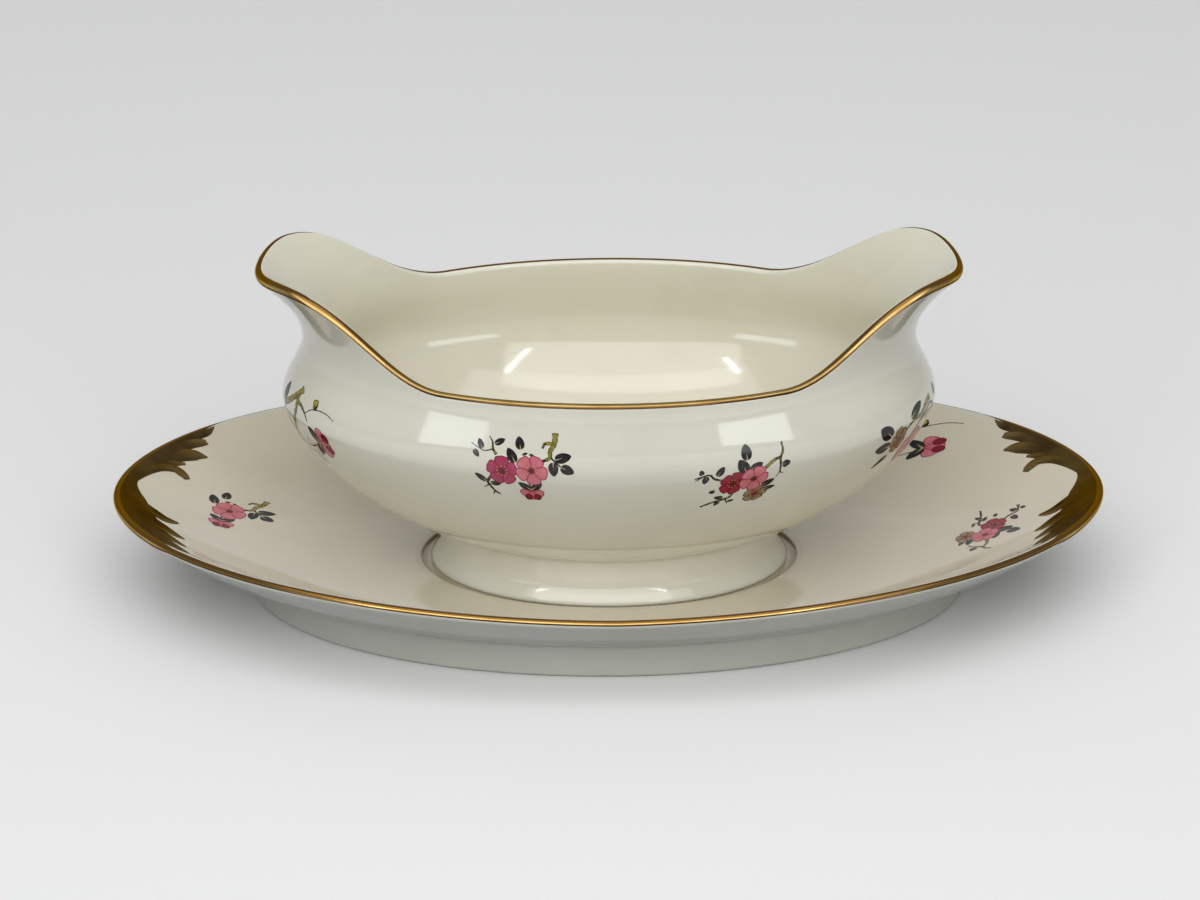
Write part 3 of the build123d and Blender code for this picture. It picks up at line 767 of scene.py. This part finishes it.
# ------------------------------------------------------------- materials ----
class Value:
    """A socket that ordinary arithmetic works on."""

    def __init__(self, finish, socket):
        self.finish, self.socket = finish, socket

    def maths(self, operation, *values):
        return self.finish.node("Math", {"operation": operation}, values)

    def __add__(self, other):
        return self.maths("ADD", self, other)

    def __mul__(self, other):
        return self.maths("MULTIPLY", self, other)

    def __truediv__(self, other):
        return self.maths("DIVIDE", self, other)

    def __rtruediv__(self, other):
        return self.maths("DIVIDE", other, self)

    __radd__, __rmul__ = __add__, __mul__

    def __abs__(self):
        return self.maths("ABSOLUTE", self)

    def between(self, low, high):
        """0 below low, 1 above high, smooth between.  High may be the lower."""
        settings = {"interpolation_type": "SMOOTHSTEP", "clamp": True}
        values = {"Value": self, "From Min": low, "From Max": high}
        return self.finish.node("MapRange", settings, values)


class Finish:
    """One material, with its nodes made by name and wired by expression."""

    def __init__(self, name):
        self.material = bpy.data.materials.new(name)
        self.material.use_nodes = True
        self.tree = self.material.node_tree
        self.shader = self.tree.nodes["Principled BSDF"]
        self.place = self.node("TexCoord", {}, {}, "Object")

    def node(self, kind, settings, values, output=0):
        made = self.tree.nodes.new("ShaderNode" + kind)
        for key, setting in settings.items():
            setattr(made, key, setting)
        for key, value in values.items() if isinstance(values, dict) else enumerate(values):
            self.join(value, made.inputs[key])
        return Value(self, made.outputs[output])

    def join(self, value, socket):
        if isinstance(value, Value):
            self.tree.links.new(value.socket, socket)
        else:
            socket.default_value = (*value, 1.0) if socket.type == "RGBA" else value

    def noise(self, scale, detail=2.0, roughness=0.5):
        values = {"Vector": self.place, "Scale": scale, "Detail": detail, "Roughness": roughness}
        return self.node("TexNoise", {}, values, "Fac")

    def axis(self, name):
        return self.node("SeparateXYZ", {}, [self.place], "XYZ".index(name))

    def layer(self, name, axis):
        """One number of a mesh's own map, such as the distance from an edge."""
        coordinates = self.node("UVMap", {"uv_map": name}, {}, "UV")
        return self.node("SeparateXYZ", {}, [coordinates], "XYZ".index(axis))

    def mix(self, share, first, second):
        settings = {"data_type": "RGBA", "clamp_factor": True}
        return self.node("Mix", settings, {0: share, 6: first, 7: second}, 2)

    def bump(self, height, distance, strength=1.0):
        values = {"Height": height, "Distance": distance, "Strength": strength}
        return self.node("Bump", {}, values, "Normal")

    def set(self, **values):
        for key, value in values.items():
            self.join(value, self.shader.inputs[key.replace("_", " ").title().replace("Ior", "IOR")])
        return self.material


def specks(finish, scale, size, share):
    """A few tiny round specks in the glaze, 1 inside one."""
    values = {"Vector": finish.place, "Scale": scale}
    distance = finish.node("TexVoronoi", {}, values, "Distance")
    colour = finish.node("TexVoronoi", {}, values, "Color")
    chosen = finish.node("SeparateColor", {}, [colour], 0).between(share, share - 0.01)
    return distance.between(size * scale, size * scale * 0.5) * chosen


def glaze(name, colour, deep_colour, warm_colour, stain_and_shade=None):
    """Fired glaze: a clear coat over porcelain, uneven in tone and slightly wavy.  stain_and_shade is a
    function that gives where the glaze takes its deep colour as a real stain and painted shade."""
    finish = Finish(name)
    cloud = finish.noise(16, 3).between(0.3, 0.75)
    drift = finish.noise(55, 4).between(0.42, 0.7)
    tone = finish.mix(cloud * 0.55, colour, warm_colour)
    tone = finish.mix(drift * 0.18, tone, deep_colour)
    if stain_and_shade:
        # Deep colour where stain_and_shade is 1: a real stain and painted shade together.
        tone = finish.mix(stain_and_shade(finish), tone, deep_colour)
    speck = specks(finish, 95, 0.00023, 0.035)
    tone = finish.mix(speck * 0.6, tone, (0.16, 0.11, 0.07))
    wave = finish.noise(34, 2) + finish.noise(170, 2) * 0.05
    return finish.set(
        base_color=tone,
        roughness=finish.noise(120, 3).between(0.35, 0.8) * 0.05 + 0.07,
        normal=finish.bump(wave, 0.00012, 0.5),
        ior=1.52,
        coat_weight=0.5,
        coat_roughness=0.03,
    )


def well_stain_and_shade(finish):
    """1 in a narrow band round the edge of the stand's well, where the glaze has a real stain and painted
    shade in the gap round the boat's foot.
    """
    x, y = (finish.axis(axis) / (half * MM) for axis, half in zip("XY", WELL))
    reach = x * x + y * y
    return reach.between(0.9, 0.97) * reach.between(1.03, 0.99) * 0.85


def bisque(name):
    """Unglazed porcelain on which the piece stands."""
    finish = Finish(name)
    grain = finish.noise(900, 4, 0.7)
    stain = finish.noise(60, 4).between(0.45, 0.75)
    tone = finish.mix(stain * 0.6, (0.62, 0.59, 0.52), (0.34, 0.29, 0.22))
    return finish.set(base_color=tone, roughness=0.75, normal=finish.bump(grain, 0.00004))


def gilt(name, colour, worn_colour, rubbed_and_shade_colour, gloss, raised=False):
    """Burnished gold, darker where it is thin or rubbed.  A line is painted brown past the crest of the
    lip, a painted dark reflection, and painted dark along both edges as shade.  Raised work is rounded,
    painted lighter towards each stroke's tip as a highlight, and painted dark in its grooves as shade."""
    finish = Finish(name)
    streak = finish.noise(700, 3)
    cloud = finish.noise(110, 4).between(0.35, 0.7)
    rubbed = finish.noise(300, 5, 0.7).between(0.6, 0.76)
    tone = finish.mix(cloud, colour, worn_colour)
    tone = finish.mix(rubbed * 0.35, tone, rubbed_and_shade_colour)
    height = streak * 0.02 + cloud * 0.02
    if raised:
        edge, along = finish.layer("edge", "X"), finish.layer("own", "X")
        leaf = along.between(0.3, 0.6)
        # Painted highlight: each stroke is lighter towards its tip.
        tone = finish.mix(along.between(0.5, 1.0), tone, (0.30, 0.20, 0.08))
        # Painted shade: each stroke is dark in the grooves along its outline, away from its start.
        tone = finish.mix(edge.between(0.3, -0.05) * leaf * 0.7, tone, rubbed_and_shade_colour)
        height = height + edge.between(-0.3, 1.8) * leaf
    else:
        turn, across = finish.layer("own", "X"), finish.layer("own", "Y")
        # Painted dark reflection: the line is brown past the crest of the lip.
        tone = finish.mix(turn.between(0.36, 0.5), tone, (0.27, 0.145, 0.04))
        # Painted shade: the line is dark along both of its edges.
        tone = finish.mix(across.between(0.34, 0.12), tone, rubbed_and_shade_colour)
        tone = finish.mix(across.between(0.88, 1.0), tone, rubbed_and_shade_colour)
    return finish.set(
        base_color=tone,
        metallic=1.0,
        roughness=streak * 0.08 + rubbed * 0.15 + gloss,
        specular_tint=(0.5, 0.4, 0.26),
        normal=finish.bump(height, 0.0006, 0.7),
    )


def ink_finish(name, tone_of):
    """Enamel paint fired on the glaze."""
    finish = Finish(name)
    return finish.set(
        base_color=tone_of(finish),
        roughness=finish.noise(300, 2) * 0.06 + 0.1,
        ior=1.4,
        coat_weight=0.1,
    )


def petal_tone(tip, heart, line):
    """Petals paler at the tip, deeper at the heart, outlined with a brush."""
    def tone_of(finish):
        along, edge = finish.layer("own", "X"), finish.layer("edge", "X")
        mottle = finish.noise(1500, 3).between(0.35, 0.7)
        fan = finish.layer("own", "Y") / (along + 0.25) * 9 + finish.layer("edge", "Y") * 20
        stripes = finish.node("TexNoise", {"noise_dimensions": "1D"}, {"W": fan, "Scale": 1.0})
        vein = stripes.between(0.5, 0.66)
        tone = finish.mix(along.between(0.2, 0.75), heart, tip)
        tone = finish.mix(mottle * 0.35, tone, heart)
        tone = finish.mix(vein * 0.22, tone, line)
        return finish.mix(edge.between(0.32, 0.12), tone, line)
    return tone_of


def leaf_tone(finish):
    """Nearly black, with a short yellow wedge at the stalk."""
    along, across = finish.layer("own", "X"), finish.layer("own", "Y")
    wedge = (abs(across) + along * 0.09).between(0.052, 0.034)
    cloud = finish.noise(900, 3).between(0.4, 0.7)
    tone = finish.mix(cloud, (0.011, 0.008, 0.010), (0.030, 0.026, 0.027))
    return finish.mix(wedge, tone, (0.46, 0.41, 0.17))


def twig_tone(finish):
    """Olive bark, outlined with a brush."""
    edge = finish.layer("edge", "X")
    bark = finish.noise(1100, 3).between(0.4, 0.62)
    tone = finish.mix(bark, (0.36, 0.28, 0.045), (0.17, 0.14, 0.02))
    return finish.mix(edge.between(0.17, 0.07), tone, (0.028, 0.016, 0.006))


def mottled(first, second):
    return lambda finish: finish.mix(finish.noise(2000, 2), first, second)


def make_inks():
    tones = {
        "deep_petal": petal_tone((0.42, 0.05, 0.115), (0.30, 0.02, 0.06), (0.20, 0.012, 0.04)),
        "pale_petal": petal_tone((0.62, 0.20, 0.225), (0.54, 0.125, 0.15), (0.36, 0.022, 0.08)),
        "crimson_petal": petal_tone((0.33, 0.012, 0.035), (0.22, 0.006, 0.02), (0.13, 0.004, 0.012)),
        "olive_petal": petal_tone((0.32, 0.30, 0.13), (0.22, 0.07, 0.04), (0.16, 0.02, 0.03)),
        "bud": petal_tone((0.62, 0.46, 0.045), (0.24, 0.16, 0.02), (0.05, 0.035, 0.01)),
        "leaf": leaf_tone,
        "twig": twig_tone,
        "heart": mottled((0.07, 0.006, 0.010), (0.14, 0.016, 0.02)),
        "stamen": mottled((0.66, 0.42, 0.09), (0.44, 0.22, 0.05)),
    }
    return {name: ink_finish(name + "_enamel", tone) for name, tone in tones.items()}


SPRAYS = (
    # name, painter, wall, around, rise, inside, turn, size
    ("boat_spray_front_left", paint_pink_spray, BOAT, 2.839, 0.596, False, 0, 1.0),
    ("boat_spray_front_right", paint_crimson_spray, BOAT, 3.246, 0.525, False, -5, 1.0),
    ("boat_spray_left_end", paint_twig_spray, BOAT, 2.27, 0.53, False, 0, 1.0),
    ("boat_spray_right_end", paint_olive_spray, BOAT, 3.74, 0.50, False, 0, 1.0),
    ("boat_spray_back_left", paint_pink_spray, BOAT, 1.16, 0.59, False, 0, 1.0),
    ("boat_spray_back_right", paint_crimson_spray, BOAT, 0.75, 0.53, False, 0, 1.0),
    ("stand_spray_left", paint_pink_end, STAND, 1.858, 0.70, True, -82, 1.1),
    ("stand_spray_right", paint_crimson_spray, STAND, 3.97, 0.655, True, -45, 1.0),
    ("stand_spray_back", paint_twig_spray, STAND, 0.512, 0.836, True, 32, 1.15),
)


def paint_sprays():
    inks = make_inks()
    for name, painter, wall, around, rise, inside, turn, size in SPRAYS:
        piece = name.split("_")[0]
        patch = Patch(wall, around, rise, inside, turn, size)
        spray = Spray(name, patch, piece + "_body", piece + "_glaze", inks)
        painter(spray)
        spray.finish()


# ----------------------------------------------------------------- scene ----
LAMP_TARGET = (0, 0, 0.04)
DAYLIGHT = (0.93, 0.98, 1.0)


def aim(name, data, azimuth, elevation, distance, target, roll=0):
    """A camera or lamp that looks at a target, azimuth 0 being in front."""
    item = bpy.data.objects.new(name, data)
    bpy.context.scene.collection.objects.link(item)
    a, e = math.radians(azimuth), math.radians(elevation)
    back = Vector((math.sin(a) * math.cos(e), -math.cos(a) * math.cos(e), math.sin(e)))
    item.location = Vector(target) + back * distance
    item.rotation_mode = "QUATERNION"
    rolled = Quaternion((0, 0, 1), math.radians(roll))
    item.rotation_quaternion = (-back).to_track_quat("-Z", "Y") @ rolled
    return item


def make_camera(azimuth, elevation, distance, target, lens):
    data = bpy.data.cameras.new("camera")
    data.lens, data.sensor_width = lens, 36
    data.clip_start, data.clip_end = 0.05, 20
    bpy.context.scene.camera = aim("camera", data, azimuth, elevation, distance, target)


def make_lamp(name, azimuth, elevation, distance, size, power, roll=0, colour=(1, 1, 1), glint=True):
    """A soft box.  One without glint isn't mirrored in the glaze."""
    data = bpy.data.lights.new(name, "AREA")
    data.shape, data.size, data.size_y = "RECTANGLE", size[0], size[1]
    data.energy, data.color = power, colour
    aim(name, data, azimuth, elevation, distance, LAMP_TARGET, roll).visible_glossy = glint


def make_lights():
    """Three soft boxes, two windows and two narrow strips of light."""
    make_lamp("ceiling", 0, 66, 1.7, (2.4, 1.6), 14)
    make_lamp("front_box", -4, 36, 1.6, (1.7, 0.8), 8)
    make_lamp("back_box", 180, 40, 1.8, (2.2, 1.0), 6, glint=False)
    make_lamp("window_left", -41, 9, 1.5, (0.52, 0.34), 1.65, colour=DAYLIGHT)
    make_lamp("window_right", 38, 9, 1.5, (0.56, 0.30), 1.65, colour=DAYLIGHT)
    make_lamp("strip_left", -35, 34, 1.5, (0.04, 0.26), 0.35, roll=40)
    make_lamp("strip_right", 25, 31, 1.5, (0.04, 0.4), 0.45, roll=-35)


def make_studio():
    """A floor that curves up into a backdrop.  It is pale to the camera and in
    reflections, and throws little light on the piece."""
    front, bend, radius, top, half_width = -2.0, 0.9, 0.6, 3.0, 3.0
    profile = [(front, 0.0), (bend, 0.0)]
    profile += [
        (bend + radius * math.sin(a), radius - radius * math.cos(a))
        for a in np.linspace(0.1, math.pi / 2, 12)
    ]
    profile.append((bend + radius, top))
    points = [(x, y, z) for y, z in profile for x in (-half_width, half_width)]
    faces = [(2 * i, 2 * i + 1, 2 * i + 3, 2 * i + 2) for i in range(len(profile) - 1)]
    mesh = bpy.data.meshes.new("floor")
    mesh.from_pydata(points, [], faces)
    mesh.shade_smooth()
    floor = bpy.data.objects.new("floor", mesh)
    bpy.context.scene.collection.objects.link(floor)
    finish = Finish("floor_paper")
    tone = finish.mix(finish.noise(3, 2) * 0.3, (0.95, 0.95, 0.945), (0.90, 0.90, 0.895))
    camera_ray = finish.node("LightPath", {}, {}, "Is Camera Ray")
    glossy_ray = finish.node("LightPath", {}, {}, "Is Glossy Ray")
    tone = finish.mix(camera_ray + glossy_ray, (0.17, 0.17, 0.165), tone)
    mesh.materials.append(finish.set(base_color=tone, roughness=0.8))
    world = bpy.data.worlds.new("room")
    world.use_nodes = True
    background = world.node_tree.nodes["Background"]
    background.inputs["Color"].default_value = (0.97, 0.985, 1.0, 1.0)
    background.inputs["Strength"].default_value = 0.32
    bpy.context.scene.world = world


def make_porcelain():
    """The boat and the stand.  Each glaze has its colour, a deep one where it lies thick and a warm one;
    round the stand's well the deep one also marks a real stain and painted shade."""
    outside = glaze("boat_outside_glaze", (0.77, 0.755, 0.645), (0.59, 0.60, 0.495), (0.77, 0.735, 0.605))
    inside = glaze("boat_inside_glaze", (0.76, 0.735, 0.60), (0.60, 0.57, 0.455), (0.76, 0.705, 0.555))
    # The stand's upper glaze is darker than the boat's: partly its own warmer tone, partly painted shade
    # on the same porcelain.
    upper = glaze("stand_upper_glaze", (0.70, 0.65, 0.52), (0.54, 0.49, 0.38), (0.70, 0.61, 0.47))
    under = glaze("stand_under_glaze", (0.66, 0.66, 0.59), (0.48, 0.50, 0.43), (0.66, 0.64, 0.54))
    # The well's glaze: its dark band is a real stain and painted shade in the gap round the boat's foot.
    stain_and_shade_glaze = glaze(
        "stand_well_glaze", (0.68, 0.63, 0.50), (0.34, 0.255, 0.115), (0.66, 0.58, 0.44), well_stain_and_shade,
    )
    bare = bisque("foot_bisque")
    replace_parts(make_boat(outside, inside, bare), "sauce_boat")
    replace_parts(make_stand(under, upper, stain_and_shade_glaze, bare), "stand")


def make_gilding():
    """The gold lines and scrolls.  Each gold has its colour, a worn one, and a dark one for rubbed spots
    and painted shade; the scroll's colours are dark brown as a painted dark reflection.
    """
    line_gold = gilt("rim_gold", (0.80, 0.57, 0.22), (0.57, 0.35, 0.11), (0.09, 0.043, 0.015), 0.12)
    # Painted dark reflection: the scroll's gold is dark brown, as if it mirrored dark surroundings.
    scroll_gold = gilt(
        "scroll_gold", (0.165, 0.108, 0.043), (0.105, 0.066, 0.027), (0.035, 0.02, 0.01), 0.26,
        raised=True,
    )
    boat_line = make_line(
        "boat_gold_line", BOAT, BOAT_LINE, BOAT_LINE_WIDE, boat_spout_share(), line_gold,
        "boat_body",
    )
    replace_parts(boat_line, "boat_gilding")
    stand_line = make_line(
        "stand_gold_line", STAND, STAND_LINE, STAND_LINE_WIDE, stand_tip_share(), line_gold,
        "stand_body",
    )
    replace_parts(stand_line, "stand_gilding")
    make_scroll("stand_scroll_left", -1, scroll_gold)
    make_scroll("stand_scroll_right", 1, scroll_gold)


def main():
    bpy.context.scene.view_settings.view_transform = "Standard"
    make_porcelain()
    make_gilding()
    paint_sprays()
    make_studio()
    make_camera(azimuth=-1.31, elevation=23, distance=1.0, target=(-0.0022, 0, 0.0339), lens=126.4)
    make_lights()


main()
